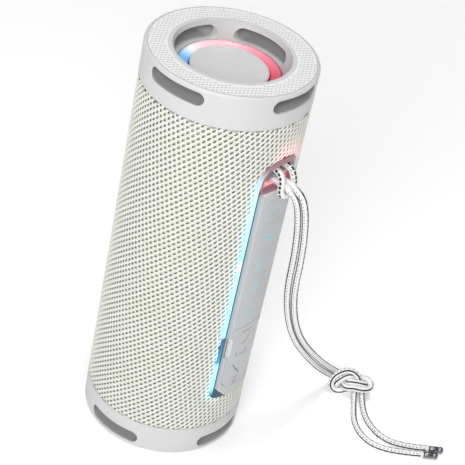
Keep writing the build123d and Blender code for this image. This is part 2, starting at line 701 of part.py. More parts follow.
with BuildPart() as lanyard_pin:
    with BuildSketch(Plane.XZ.offset(-BAR_HALF + 0.45)):
        with Locations((PIN_X, PIN_Z)):
            Circle(PIN_R)
    extrude(amount=2 * BAR_HALF - 0.9)
save(lanyard_pin, "lanyard_pin")


# The lanyard is one braided cord: each half starts at the middle of the bight, wraps up over the
# pin, comes out between the two wraps and hangs down to the knot, which lies on the ground.
WRAP_Y = 5.1
OVER_PIN_Y = 3.6
STRAND_Y = 1.75
HITCH_Y = 2.4
WRAP_FRONT_X = 42.7
LEAN = 1.6
WRAP_BACK_X = PIN_X - PIN_R - CORD_D / 2 - 0.1
WRAP_TOP_Z = PIN_Z + PIN_R + CORD_D / 2 + 0.1
BIGHT_Z = 153.6
PASS_Z = 158.0
FALL = [
    (50.4, 6.8, 147.0), (50.1, 12.8, 122.0), (49.6, 14.8, 94.0), (49.0, 29.2, 62.0),
    (48.4, 55.2, 32.0), (47.0, 75.6, 12.5), (47.9, 82.8, 6.8),
]
KNOT = (56.4, 84.0, 6.3)
KNOT_HALF = (11.5, 5.9)
TAILS = {
    "1": [(62.7, 81.8, 4.4), (68.3, 74.6, 2.2), (76.7, 64.9, 1.8), (88.4, 60.5, 1.8),
          (100.3, 65.0, 1.8), (111.4, 76.2, 1.8)],
    "2": [(64.5, 85.5, 5.0), (70.6, 79.2, 2.2), (78.9, 72.7, 1.8), (89.6, 69.2, 1.8),
          (100.6, 72.1, 1.8), (110.7, 81.9, 1.8)],
}
SIDEWAYS = [Vector(1.7, 0.6, 0)] * 3 + [Vector(1.2, 1.0, 0.6)] + [Vector(0.5, 1.3, 1.1)] * 3
TIP_LENGTH = 9.0
TIP_R = 1.75


def cord(points, tight=None):
    """Round cord along straight runs joined by tangent arcs; tight gives the corners that go
    round something, as corner number to radius."""
    route = [Vector(*p) for p in points]
    radii = corner_radii(route)
    for corner, radius in (tight or {}).items():
        radii[corner] = radius
    with BuildPart() as piece:
        with BuildLine():
            line = FilletPolyline(*route, radius=radii)
        with BuildSketch(Plane(origin=line @ 0, z_dir=line % 0)):
            Circle(CORD_D / 2)
        sweep(path=line)
    length = line.length
    print("cord", round(length, 1), "mm, volume ratio", round(piece.part.volume / (length * pi * CORD_D**2 / 4), 4))
    print("  radii", [round(r, 1) for r in radii], "runs",
          [round((route[i + 1] - route[i]).length, 1) for i in range(len(route) - 1)])
    return piece


for name, side in (("a", -1), ("b", 1)):
    strand = cord(
        [
            (WRAP_FRONT_X, HITCH_Y, BIGHT_Z),
            (WRAP_FRONT_X, HITCH_Y + side * WRAP_Y, BIGHT_Z),
            (WRAP_FRONT_X - LEAN, HITCH_Y + side * OVER_PIN_Y, WRAP_TOP_Z),
            (WRAP_BACK_X, HITCH_Y + side * OVER_PIN_Y, WRAP_TOP_Z),
            (WRAP_BACK_X, HITCH_Y + side * STRAND_Y, PASS_Z),
            (47.7 + side * 1.0, HITCH_Y + side * STRAND_Y, PASS_Z + 0.6),
        ]
        + [tuple(Vector(*p) + apart * side) for p, apart in zip(FALL, SIDEWAYS)],
        tight={2: PIN_X - WRAP_BACK_X},
    )
    save(strand, f"lanyard_strand_{name}")

with BuildPart() as lanyard_knot:
    with BuildSketch(Plane(origin=KNOT, z_dir=(0, -1, 0), x_dir=(1, 0, 0))):
        Ellipse(*KNOT_HALF)
        with Locations((0, -10)):
            Rectangle(60, 20, mode=Mode.SUBTRACT)
    revolve(axis=Axis(KNOT, (1, 0, 0)))
save(lanyard_knot, "lanyard_knot")

for number, points in TAILS.items():
    save(cord(points), f"lanyard_tail_{number}")
    end = Vector(*points[-1])
    heading = end - Vector(*points[-2])
    with BuildPart() as tip:
        with BuildSketch(Plane(origin=end, z_dir=heading)):
            Circle(TIP_R)
        extrude(amount=TIP_LENGTH)
    save(tip, f"lanyard_tip_{number}")
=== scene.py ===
import math

import bpy
import numpy as np
from mathutils import Matrix, Vector


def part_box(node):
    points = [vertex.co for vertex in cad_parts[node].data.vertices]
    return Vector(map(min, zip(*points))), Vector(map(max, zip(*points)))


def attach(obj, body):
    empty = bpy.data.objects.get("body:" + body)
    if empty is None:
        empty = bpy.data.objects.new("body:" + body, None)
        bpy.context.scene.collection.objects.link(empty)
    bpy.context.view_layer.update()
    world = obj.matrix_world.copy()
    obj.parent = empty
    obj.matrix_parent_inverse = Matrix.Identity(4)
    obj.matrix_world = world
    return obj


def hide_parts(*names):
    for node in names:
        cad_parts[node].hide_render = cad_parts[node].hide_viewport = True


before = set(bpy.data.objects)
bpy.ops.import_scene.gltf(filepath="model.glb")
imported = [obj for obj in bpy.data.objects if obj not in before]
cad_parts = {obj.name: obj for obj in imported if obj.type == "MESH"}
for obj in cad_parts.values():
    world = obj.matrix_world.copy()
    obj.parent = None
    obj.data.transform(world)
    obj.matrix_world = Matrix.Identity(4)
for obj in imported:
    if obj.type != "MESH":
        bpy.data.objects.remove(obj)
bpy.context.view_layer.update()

MM = 0.001

# ---------------------------------------------------------------- sizes read from the frame
CAP_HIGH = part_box("top_end_cap")[1]
BODY_R = CAP_HIGH.x
HEIGHT = CAP_HIGH.z
SLEEVE_LOW, SLEEVE_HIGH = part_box("mesh_sleeve")
SLEEVE_R = SLEEVE_HIGH.y
GUIDE_LOW, GUIDE_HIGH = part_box("light_guide")
BAR_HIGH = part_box("control_bar")[1]
GUIDE_CORNER = 5.0 * MM
ARCH_R = 11.0 * MM
BAR_CROWN_R = 50.0 * MM
RECESS_R = 26.5 * MM
SLOT_SPANS = ((2.2 * MM, 8.5 * MM), (197.5 * MM, 203.8 * MM))


# ---------------------------------------------------------------- materials
class Shader:
    """A Principled material under construction; each method adds nodes and returns an output."""

    def __init__(self, name, settings):
        self.material = bpy.data.materials.new(name)
        self.material.use_nodes = True
        self.tree = self.material.node_tree
        self.main = self.tree.nodes["Principled BSDF"]
        for socket, value in settings.items():
            self.main.inputs[socket].default_value = value
        self.place = self.add("TexCoord").outputs["Object"]

    def add(self, kind, settings=None, inputs=None):
        node = self.tree.nodes.new("ShaderNode" + kind)
        for key, value in (settings or {}).items():
            setattr(node, key, value)
        for key, value in (inputs or {}).items():
            if isinstance(value, bpy.types.NodeSocket):
                self.tree.links.new(value, node.inputs[key])
            else:
                node.inputs[key].default_value = value
        return node

    def math(self, operation, a, b=0.0):
        return self.add("Math", {"operation": operation}, {0: a, 1: b}).outputs[0]

    def axis(self, name):
        return self.add("SeparateXYZ", None, {0: self.place}).outputs[name]

    def stretched(self, scale):
        return self.add("Mapping", None, {"Vector": self.place, "Scale": scale}).outputs[0]

    def noise(self, scale, detail=3.0, place=None):
        inputs = {"Vector": place or self.place, "Scale": scale, "Detail": detail}
        return self.add("TexNoise", None, inputs).outputs["Fac"]

    def between(self, value, low, high):
        """0 below low, 1 above high, smooth in between."""
        inputs = {"Value": value, "From Min": low, "From Max": high}
        return self.add("MapRange", {"interpolation_type": "SMOOTHSTEP"}, inputs).outputs[0]

    def until(self, value, low, high):
        """1 below low, 0 above high, smooth in between."""
        return self.math("SUBTRACT", 1.0, self.between(value, low, high))

    def within(self, value, rise, fall):
        """1 from the rise to the fall, each of which is a span of values."""
        return self.math("MULTIPLY", self.between(value, *rise), self.until(value, *fall))

    def less(self, mask, amount):
        """1 where the mask is 0, and less than that by amount where it is 1."""
        return self.math("SUBTRACT", 1.0, self.math("MULTIPLY", amount, mask))

    def radius(self):
        """Distance from the upright axis."""
        squares = [self.math("POWER", self.axis(name), 2.0) for name in "XY"]
        return self.math("SQRT", self.math("ADD", *squares))

    def spread(self, value, low, high):
        return self.add("MapRange", None, {"Value": value, "To Min": low, "To Max": high}).outputs[0]

    def ramp(self, factor, stops):
        node = self.add("ValToRGB", None, {"Fac": factor})
        elements = node.color_ramp.elements
        while len(elements) < len(stops):
            elements.new(0.5)
        for element, (position, colour) in zip(elements, stops):
            element.position = position
            element.color = (*colour, 1.0)
        return node.outputs["Color"]

    def mix(self, factor, a, b, blend="MIX"):
        node = self.add("Mix", {"data_type": "RGBA", "blend_type": blend})
        for index, value in ((0, factor), (6, a), (7, b)):
            if isinstance(value, bpy.types.NodeSocket):
                self.tree.links.new(value, node.inputs[index])
            else:
                node.inputs[index].default_value = value if index == 0 else (*value, 1.0)
        return node.outputs[2]

    def bump(self, height, strength, distance):
        inputs = {"Height": height, "Strength": strength, "Distance": distance}
        self.to("Normal", self.add("Bump", None, inputs).outputs[0])

    def to(self, socket, output):
        self.tree.links.new(output, self.main.inputs[socket])

    def lay(self, mask, colour, blend="MIX"):
        """Mix a colour into the base colour where the mask is 1."""
        before = self.main.inputs["Base Color"].links[0].from_socket
        self.to("Base Color", self.mix(mask, before, colour, blend))


def moulded(name, colour, roughness, grain=0.02, settings=None):
    """Moulded plastic: faint tone and gloss variation over a fine grain."""
    shader = Shader(name, settings or {})
    shader.to("Base Color", shader.mix(shader.noise(35.0), tuple(0.965 * c for c in colour), colour))
    shader.to("Roughness", shader.spread(shader.noise(240.0), roughness - 0.05, roughness + 0.07))
    shader.bump(shader.noise(5200.0, 2.0), 0.35, grain * MM)
    return shader


def rubber(name, colour):
    shader = Shader(name, {"Specular IOR Level": 0.35})
    shader.to("Base Color", shader.mix(shader.noise(90.0), tuple(0.8 * c for c in colour), colour))
    shader.to("Roughness", shader.spread(shader.noise(600.0), 0.6, 0.85))
    shader.bump(shader.noise(3000.0), 0.5, 0.03 * MM)
    return shader


def brushed(name, colour, roughness, stretch):
    """Metal with fine scratches, which run along the axis that has the smallest stretch."""
    shader = Shader(name, {"Metallic": 1.0})
    lines = shader.noise(1.0, 4.0, shader.stretched(stretch))
    shader.to("Base Color", shader.mix(lines, tuple(0.82 * c for c in colour), colour))
    shader.to("Roughness", shader.spread(lines, roughness - 0.08, roughness + 0.1))
    shader.bump(lines, 0.25, 0.02 * MM)
    return shader


def dress(shader, *nodes):
    for node in nodes:
        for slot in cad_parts[node].material_slots:
            slot.material = shader.material


CAP_GREY = (0.655, 0.658, 0.655)
BAR_GREY = (0.545, 0.553, 0.567)
CELL_BLUE = (0.05, 0.20, 0.48)
POCKET_RED = (0.62, 0.30, 0.32)

cap = moulded("cap_plastic", CAP_GREY, 0.42)
# painted shade: inside the slots through the cap walls the colour darkens more and more toward their upper
# edge
cap_radius = cap.radius()
in_wall = cap.within(cap_radius, (RECESS_R + 0.1 * MM, RECESS_R + 0.4 * MM),
                     (BODY_R - 1.2 * MM, BODY_R - 0.5 * MM))
for slot_low, slot_high in SLOT_SPANS:
    inside = cap.within(cap.axis("Z"), (slot_low - 0.3 * MM, slot_low + 0.1 * MM),
                        (slot_high - 0.1 * MM, slot_high + 0.3 * MM))
    slot_painted_shade = cap.between(cap.axis("Z"), slot_low - 1.0 * MM, slot_high)
    tone = cap.mix(slot_painted_shade, (0.80, 0.80, 0.80), (0.20, 0.20, 0.20))
    cap.lay(cap.math("MULTIPLY", inside, in_wall), tone, "MULTIPLY")
# painted shade: the recess walls are darkened, the more so the deeper they are
in_recess = cap.until(cap_radius, RECESS_R + 0.1 * MM, RECESS_R + 0.9 * MM)
from_middle = cap.math("ABSOLUTE", cap.math("SUBTRACT", cap.axis("Z"), HEIGHT / 2))
painted_depth_shade = cap.less(cap.between(from_middle, 90.0 * MM, 102.5 * MM), 0.75)
cap.lay(cap.math("MULTIPLY", in_recess, painted_depth_shade), (0.74, 0.745, 0.74), "MULTIPLY")
dress(cap, "top_end_cap", "bottom_end_cap")

black = moulded("black_plastic", (0.045, 0.046, 0.05), 0.5)
dress(black, "top_radiator_frame", "bottom_radiator_frame", "control_carrier", "battery_holder",
      "port_panel", "card_slot", "aux_jack")
# painted light: the housing glows faintly, which lightens what shows through the holes of the sleeve
housing = moulded("housing_plastic", (0.50, 0.51, 0.45), 0.6, 0.02,
                  {"Emission Color": (0.50, 0.51, 0.42, 1.0), "Emission Strength": 0.18})
dress(housing, "front_housing", "rear_housing")
dress(rubber("black_rubber", (0.04, 0.04, 0.042)), "top_radiator_surround", "bottom_radiator_surround",
      "seam_gasket", "port_cover_seal", "upper_driver_suspension", "lower_driver_suspension")
dress(brushed("plated_steel", (0.62, 0.62, 0.64), 0.3, (900, 900, 60)), "screws", "port_cover_pin",
      "usb_a_socket", "usb_c_socket")
dress(brushed("turned_pin", (0.50, 0.50, 0.53), 0.32, (3000, 60, 3000)), "lanyard_pin")
dress(moulded("led_package", (0.85, 0.84, 0.78), 0.3), "leds")
dress(moulded("chip_black", (0.03, 0.03, 0.033), 0.45), "board_chips", "tact_switches")
dress(moulded("coated_basket", (0.06, 0.06, 0.065), 0.35, 0.03, {"Metallic": 0.6}), "upper_driver_basket",
      "lower_driver_basket", "upper_driver_magnet", "lower_driver_magnet")

board = moulded("circuit_board", (0.02, 0.13, 0.06), 0.35)
tracks = board.add("TexBrick", {"offset": 0.5}, {
    "Vector": board.place, "Scale": 260.0, "Mortar Size": 0.02, "Color1": (0.02, 0.13, 0.06, 1),
    "Color2": (0.03, 0.16, 0.07, 1), "Mortar": (0.10, 0.24, 0.10, 1)})
board.to("Base Color", tracks.outputs["Color"])
dress(board, "main_board", "button_board", "top_led_board", "bottom_led_board")

wrap = moulded("cell_wrap", CELL_BLUE, 0.22, 0.01, {"Coat Weight": 0.4})
band = wrap.between(wrap.axis("Z"), 128.0 * MM, 128.5 * MM)
wrap.to("Base Color", wrap.mix(band, CELL_BLUE, (0.72, 0.72, 0.70)))
dress(wrap, "battery_cell_1", "battery_cell_2")

cone = moulded("paper_cone", (0.03, 0.03, 0.033), 0.8, 0.06)
dress(cone, "upper_driver_cone", "lower_driver_cone")

disc = brushed("radiator_metal", (0.89, 0.89, 0.895), 0.42, (180, 2600, 400))
disc.main.inputs["Metallic"].default_value = 0.35
dress(disc, "top_radiator_disc", "bottom_radiator_disc")

# the light ring changes colour round the axis
ring = moulded("ring_diffuser", (0.55, 0.56, 0.60), 0.25)
turn = ring.math("ARCTAN2", ring.axis("Y"), ring.axis("X"))
turn = ring.math("ADD", ring.math("DIVIDE", turn, 2 * math.pi), 0.5)
ring_colours = ring.ramp(turn, [
    (0.00, (0.86, 0.62, 0.66)), (0.03, (0.88, 0.84, 0.88)), (0.06, (0.55, 0.75, 0.92)),
    (0.10, (0.20, 0.48, 0.86)), (0.20, (0.15, 0.30, 0.75)), (0.34, (0.45, 0.18, 0.50)),
    (0.50, (0.58, 0.07, 0.11)), (0.594, (0.60, 0.09, 0.14)), (0.72, (0.80, 0.22, 0.29)),
    (0.85, (0.86, 0.38, 0.44)), (0.96, (0.88, 0.54, 0.58)), (1.00, (0.86, 0.66, 0.70)),
])
ring.to("Emission Color", ring_colours)
ring.to("Base Color", ring_colours)
ring.main.inputs["Emission Strength"].default_value = 0.22
dress(ring, "top_light_ring", "bottom_light_ring")

# the light guide: cyan along the bar and pink round the pocket, with painted shade in its colours: near black
# at the bar's lower end, deep blue in the finger notch and dark pink at the top of the arch
guide = moulded("guide_diffuser", (0.5, 0.6, 0.65), 0.3)
height = guide.math("DIVIDE", guide.axis("Z"), HEIGHT)
guide_glow_and_shade = guide.ramp(height, [
    (0.176, (0.02, 0.04, 0.06)), (0.190, (0.12, 0.50, 0.66)), (0.21, (0.42, 0.86, 0.97)),
    (0.27, (0.42, 0.86, 0.98)), (0.282, (0.06, 0.33, 0.60)), (0.352, (0.035, 0.12, 0.24)),
    (0.358, (0.40, 0.90, 1.0)), (0.54, (0.45, 0.92, 1.0)), (0.56, (0.80, 0.97, 1.0)),
    (0.58, (0.40, 0.90, 0.98)), (0.74, (0.50, 0.86, 1.0)), (0.79, (0.62, 0.80, 0.95)),
    (0.815, (0.36, 0.22, 0.26)), (0.84, (0.30, 0.13, 0.15)),
])
lit_side = guide.until(guide.axis("Y"), -9.5 * MM, -7.5 * MM)
around_pocket = guide.between(guide.axis("Z"), 157.0 * MM, 161.0 * MM)
above_foot = guide.between(guide.axis("Z"), 35.2 * MM, 36.4 * MM)
in_notch = guide.within(guide.axis("Z"), (57.0 * MM, 59.0 * MM), (72.5 * MM, 73.5 * MM))
beside_bar = guide.math("MULTIPLY", guide.between(guide.axis("Y"), -11.6 * MM, -11.2 * MM),
                        guide.less(around_pocket, 1.0))
# painted shadow: below the bar's lower end the unlit guide turns near black
unlit = guide.mix(above_foot, (0.03, 0.035, 0.04), (0.30, 0.32, 0.34))
unlit = guide.mix(around_pocket, unlit, guide_glow_and_shade)
guide.to("Base Color", guide.mix(lit_side, unlit, guide_glow_and_shade))
# painted shade: the guide darkens in the gap beside the bar
guide.lay(beside_bar, (0.02, 0.06, 0.09))
guide.to("Emission Color", guide_glow_and_shade)
lit = lit_side
for mask, amount in ((around_pocket, 0.8), (in_notch, 0.7), (beside_bar, 1.0)):
    lit = guide.math("MULTIPLY", lit, guide.less(mask, amount))
guide.to("Emission Strength", guide.math("MULTIPLY", 0.42, lit))
dress(guide, "light_guide")

# painted light: the bar's left edge takes a little of the guide's cyan glow as colour
bar = moulded("bar_plastic", BAR_GREY, 0.38)
painted_guide_spill = bar.until(bar.axis("Y"), -10.7 * MM, -9.6 * MM)
bar.lay(bar.math("MULTIPLY", 0.5, painted_guide_spill), (0.26, 0.36, 0.43))
# painted light: the gaps round the keys and the cover glow faintly grey, which lightens the shade in them
crown = bar.math("DIVIDE", bar.math("POWER", bar.axis("Y"), 2.0), 2 * BAR_CROWN_R)
below_face = bar.math("SUBTRACT", bar.math("SUBTRACT", BAR_HIGH.x, crown), bar.axis("X"))
painted_gap_glow = bar.math("MULTIPLY", bar.between(below_face, 0.15 * MM, 0.5 * MM),
               bar.until(bar.math("ABSOLUTE", bar.axis("Y")), 9.2 * MM, 9.6 * MM))
bar.to("Emission Color", bar.mix(painted_gap_glow, (0, 0, 0), (0.30, 0.31, 0.33)))
bar.main.inputs["Emission Strength"].default_value = 0.6
dress(bar, "control_bar", "port_cover", "power_button", "light_button", "play_button", "volume_up_button",
      "volume_down_button")

# painted light: the pocket glows pale blue at its upper left and streaky pink elsewhere, and painted shade
# darkens its rim
pocket = moulded("pocket_liner", POCKET_RED, 0.4)
pink_part = pocket.math("MAXIMUM", pocket.between(pocket.axis("Y"), -6.0 * MM, -2.5 * MM),
                        pocket.until(pocket.axis("Z"), 156.0 * MM, 160.0 * MM))
streak = pocket.noise(1.0, 4.0, pocket.stretched((300, 300, 1100)))
pink = pocket.ramp(streak, [(0.38, (0.22, 0.02, 0.05)), (0.5, (0.75, 0.16, 0.20)), (0.64, (1.0, 0.55, 0.55))])
rim = pocket.between(pocket.axis("X"), 35.0 * MM, 36.0 * MM)
pocket_painted_light = pocket.mix(pink_part, (0.45, 0.70, 0.95), pink)
pocket.to("Emission Color", pocket.mix(rim, pocket_painted_light, (0.10, 0.04, 0.05)))
pocket.to("Base Color", pocket.mix(rim, POCKET_RED, (0.30, 0.16, 0.18)))
pocket.main.inputs["Emission Strength"].default_value = 0.7
dress(pocket, "lanyard_pocket")


# ---------------------------------------------------------------- mesh helpers
def mesh_object(name, points, faces, shader):
    mesh = bpy.data.meshes.new(name)
    mesh.from_pydata([tuple(p) for p in points], [], faces)
    mesh.validate()
    mesh.update()
    mesh.shade_smooth()
    mesh.materials.append(shader.material)
    piece = bpy.data.objects.new(name, mesh)
    bpy.context.scene.collection.objects.link(piece)
    return piece


def circumcentre(a, b, c):
    """The point of the plane that is as far from each of three points."""
    d = 2 * (a[0] * (b[1] - c[1]) + b[0] * (c[1] - a[1]) + c[0] * (a[1] - b[1]))
    sa, sb, sc = (p[0]**2 + p[1]**2 for p in (a, b, c))
    return np.array([(sa * (b[1] - c[1]) + sb * (c[1] - a[1]) + sc * (a[1] - b[1])) / d,
                     (sa * (c[0] - b[0]) + sb * (a[0] - c[0]) + sc * (b[0] - a[0])) / d])


class Lattice:
    """A skewed lattice of holes: where each hole's cell has its six corners."""

    def __init__(self, first, second):
        self.first = np.array(first)
        self.second = np.array(second)
        both = self.first + self.second
        origin = np.zeros(2)
        corners = [circumcentre(origin, self.first, both), circumcentre(origin, both, self.second)]
        shifts = [(0, (0, 0)), (0, (-1, 0)), (0, (-1, -1)), (1, (0, 0)), (1, (-1, -1)), (1, (0, -1))]
        offsets = [(kind, cell, corners[kind] + self.at(*cell)) for kind, cell in shifts]
        self.corners = sorted(offsets, key=lambda item: math.atan2(item[2][1], item[2][0]))

    def at(self, i, j):
        return i * self.first + j * self.second


def perforated(lattice, cells, wrap, hole, slant, floor, keep, plain=None):
    """Vertices in the flat and faces of a sheet with a hole in each cell.

    wrap maps a cell to its canonical name, so that a closed sheet shares corners.  hole is the
    half length and the half width, and slant turns its long way from the second lattice
    direction.  floor is how much of the hole is left at its lower edge.  keep clamps a flat
    point to the sheet's outline.  plain says which cells have no hole.
    Each vertex is (s, t, level): level 0 on the yarn, 1 at the hole's rim, 2 below it.
    """
    heading = math.atan2(lattice.second[1], lattice.second[0]) + slant
    along = np.array([math.cos(heading), math.sin(heading)])
    across = np.array([-along[1], along[0]])
    points, faces, shared = [], [], {}

    def vertex(flat, level):
        points.append((*keep(flat), level))
        return len(points) - 1

    for i, j in cells:
        centre = lattice.at(i, j)
        solid = plain is not None and plain(centre)
        ridge, rim, low = [], [], []
        for kind, (di, dj), offset in lattice.corners:
            key = (kind, wrap(i + di, j + dj))
            if key not in shared:
                shared[key] = vertex(centre + offset, 0)
            ridge.append(shared[key])
            if solid:
                continue
            angle = math.atan2(offset @ across, offset @ along)
            edge = along * hole[0] * math.cos(angle) + across * hole[1] * math.sin(angle)
            rim.append(vertex(centre + edge, 1))
            low.append(vertex(centre + edge * floor, 2))
        if solid:
            faces.append(tuple(ridge))
            continue
        for k in range(6):
            n = (k + 1) % 6
            faces.append((ridge[k], ridge[n], rim[n], rim[k]))
            faces.append((rim[k], rim[n], low[n], low[k]))
    return points, faces


# ---------------------------------------------------------------- woven mesh sleeve
# the lattice of holes closes on itself after these numbers of its two steps
TURNS = (77, 102)
ROUND = 2 * math.pi * SLEEVE_R
STEP_DOWN = np.array([0.567, -2.52]) * MM
STEP_UP = np.array([(ROUND - TURNS[0] * STEP_DOWN[0]) / TURNS[1], -TURNS[0] * STEP_DOWN[1] / TURNS[1]])
WINDOW_GAP = 0.15 * MM
WINDOW_HALF = GUIDE_HIGH.y + WINDOW_GAP
WINDOW_LOW = GUIDE_LOW.z - WINDOW_GAP
WINDOW_HIGH = GUIDE_HIGH.z + WINDOW_GAP
# the window lies within this turn of the bar's middle, and these second steps cover the sleeve
WINDOW_TURN = 0.6
SECOND_STEPS = range(-10, 220)


def window_distance(y, z):
    """Signed distance from the arched window in the sleeve; negative inside it."""
    half = (WINDOW_HIGH - WINDOW_LOW) / 2
    corner = ARCH_R if z > WINDOW_LOW + half else GUIDE_CORNER
    dy = abs(y) - WINDOW_HALF + corner
    dz = abs(z - WINDOW_LOW - half) - half + corner
    return math.hypot(max(dy, 0), max(dz, 0)) + min(max(dy, dz), 0) - corner


def sleeve_keep(flat):
    """A flat point of the sleeve, moved to the nearest edge if it is past one."""
    s, z = flat
    z = min(max(z, SLEEVE_LOW.z), SLEEVE_HIGH.z)
    turn = math.remainder(s, ROUND) / SLEEVE_R
    if abs(turn) < WINDOW_TURN:
        y = SLEEVE_R * math.sin(turn)
        inside = window_distance(y, z)
        if inside < 0:
            step = 0.05 * MM
            gy = (window_distance(y + step, z) - window_distance(y - step, z)) / (2 * step)
            gz = (window_distance(y, z + step) - window_distance(y, z - step)) / (2 * step)
            y, z = y - gy * inside, z - gz * inside
            s = SLEEVE_R * math.asin(y / SLEEVE_R)
    return s, z


def sleeve_wrap(i, j):
    """The name that a cell has once it is counted within one turn."""
    turns = i // TURNS[0]
    return i - turns * TURNS[0], j - turns * TURNS[1]


def sleeve_cells(lattice):
    for i in range(TURNS[0]):
        for j in SECOND_STEPS:
            s, z = lattice.at(i, j)
            if not SLEEVE_LOW.z < z < SLEEVE_HIGH.z:
                continue
            turn = math.remainder(s, ROUND) / SLEEVE_R
            if abs(turn) < WINDOW_TURN and window_distance(SLEEVE_R * math.sin(turn), z) < 0:
                continue
            yield i, j


yarn = Shader("mesh_fabric", {"Roughness": 0.8, "Sheen Weight": 0.25, "Sheen Roughness": 0.5,
                              "Specular IOR Level": 0.3})
depth = yarn.add("Attribute", {"attribute_name": "depth"}).outputs["Fac"]
fibre = yarn.noise(1.0, 5.0, yarn.stretched((2600, 2600, 1200)))
cream = yarn.mix(yarn.noise(60.0), (0.785, 0.785, 0.71), (0.84, 0.84, 0.78))
cream = yarn.mix(fibre, yarn.mix(0.2, cream, (0.50, 0.50, 0.43)), cream)
# painted shade: the yarn darkens to near black down the walls of each hole
yarn.to("Base Color", yarn.mix(yarn.between(depth, 0.28, 0.65), cream, (0.05, 0.055, 0.04)))
# painted light: the guide's glow over the fabric, as emission
yarn.to("Emission Color", yarn.add("Attribute", {"attribute_name": "glow"}).outputs["Color"])
yarn.main.inputs["Emission Strength"].default_value = 1.0
yarn.bump(fibre, 0.6, 0.08 * MM)

HOLE = (1.15 * MM, 0.56 * MM)
HOLE_SLANT = math.radians(10.0)
HOLE_FLOOR = 0.86
# radius and painted shade of the yarn, of a hole's rim and of its lower edge
LEVEL_R = (SLEEVE_R, SLEEVE_R - 0.18 * MM, SLEEVE_R - 0.85 * MM)
LEVEL_DEPTH = (0.0, 0.3, 1.0)
# each colour of painted light spilled from the guide: how bright it is, how far it reaches and how sharply it
# ends
CYAN_SPILL = 0.40 * np.array((0.30, 0.86, 1.0))
CYAN_REACH = 2.0 * MM
CYAN_FALL = 1.3
PINK_SPILL = 0.42 * np.array((1.0, 0.36, 0.42))
PINK_REACH = 6.5 * MM
PINK_FALL = 1.8
# the cyan lies on the -y side up to a height, and the pink comes in over a length of z and one of y
CYAN_SIDE_Y = -6 * MM
CYAN_TOP_Z = 163 * MM
PINK_Z = (161 * MM, 6 * MM)
PINK_Y = (-9 * MM, 7 * MM)


def rise(value, start, length):
    """0 at start, 1 once a length past it, straight in between."""
    return max(0.0, min(1.0, (value - start) / length))


def glow_at(x, y, z):
    """Painted light that the guide spills over the fabric: cyan beside the bar, pink over the pocket."""
    if x < 0:
        return 0.0, 0.0, 0.0
    distance = max(window_distance(y, z), 0.0)
    beside = 1.0 if y < CYAN_SIDE_Y and z < CYAN_TOP_Z else 0.0
    cyan = beside * math.exp(-(distance / CYAN_REACH)**CYAN_FALL)
    above = rise(z, *PINK_Z) * rise(y, *PINK_Y)
    pink = above * math.exp(-(distance / PINK_REACH)**PINK_FALL)
    return tuple(cyan * CYAN_SPILL + pink * PINK_SPILL)


def make_sleeve():
    lattice = Lattice(STEP_DOWN, STEP_UP)
    flat, faces = perforated(lattice, sleeve_cells(lattice), sleeve_wrap, HOLE, HOLE_SLANT, HOLE_FLOOR,
                             sleeve_keep)
    points = [(LEVEL_R[level] * math.cos(s / SLEEVE_R), LEVEL_R[level] * math.sin(s / SLEEVE_R), z)
              for s, z, level in flat]
    sleeve = mesh_object("woven_sleeve", points, faces, yarn)
    depths = sleeve.data.attributes.new("depth", "FLOAT", "POINT")
    depths.data.foreach_set("value", [LEVEL_DEPTH[level] for _, _, level in flat])
    glows = sleeve.data.attributes.new("glow", "FLOAT_COLOR", "POINT")
    glows.data.foreach_set("color", [c for p in points for c in (*glow_at(*p), 1.0)])
    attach(sleeve, "body")
    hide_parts("mesh_sleeve")


make_sleeve()

# ---------------------------------------------------------------- dotted rings on the end caps
RING_ROW = 1.9 * MM
RING_PITCH = 1.7 * MM
RING_TURN = math.radians(55.6)
RING_IN_R = 28.5 * MM
RING_BORDER = 0.9 * MM
RING_MARGIN = 0.8 * MM
RING_HOLE = (0.56 * MM, 0.30 * MM)
RING_FLOOR = 0.8
# each row starts this much of a pitch further along, so more rows than fit across reach the edge
RING_SHIFT = 0.45
SPARE_ROWS = 12
# sink and painted shade of the face, of a dot's rim and of its floor
RING_SINK = (0.0, 0.06 * MM, 0.35 * MM)
RING_DEPTH = (0.0, 0.1, 1.0)
RING_STEPS = 128
TEXTURE_GREY = (0.83, 0.83, 0.84)
texture = moulded("texture_plastic", TEXTURE_GREY, 0.5)
# painted shade: each dot darkens toward its floor
dotted = texture.mix(texture.add("Attribute", {"attribute_name": "depth"}).outputs["Fac"],
                     TEXTURE_GREY, (0.15, 0.15, 0.16))
edge = texture.between(texture.radius(), 37.15 * MM, 37.3 * MM)
texture.to("Base Color", texture.mix(edge, dotted, (0.36, 0.36, 0.37)))


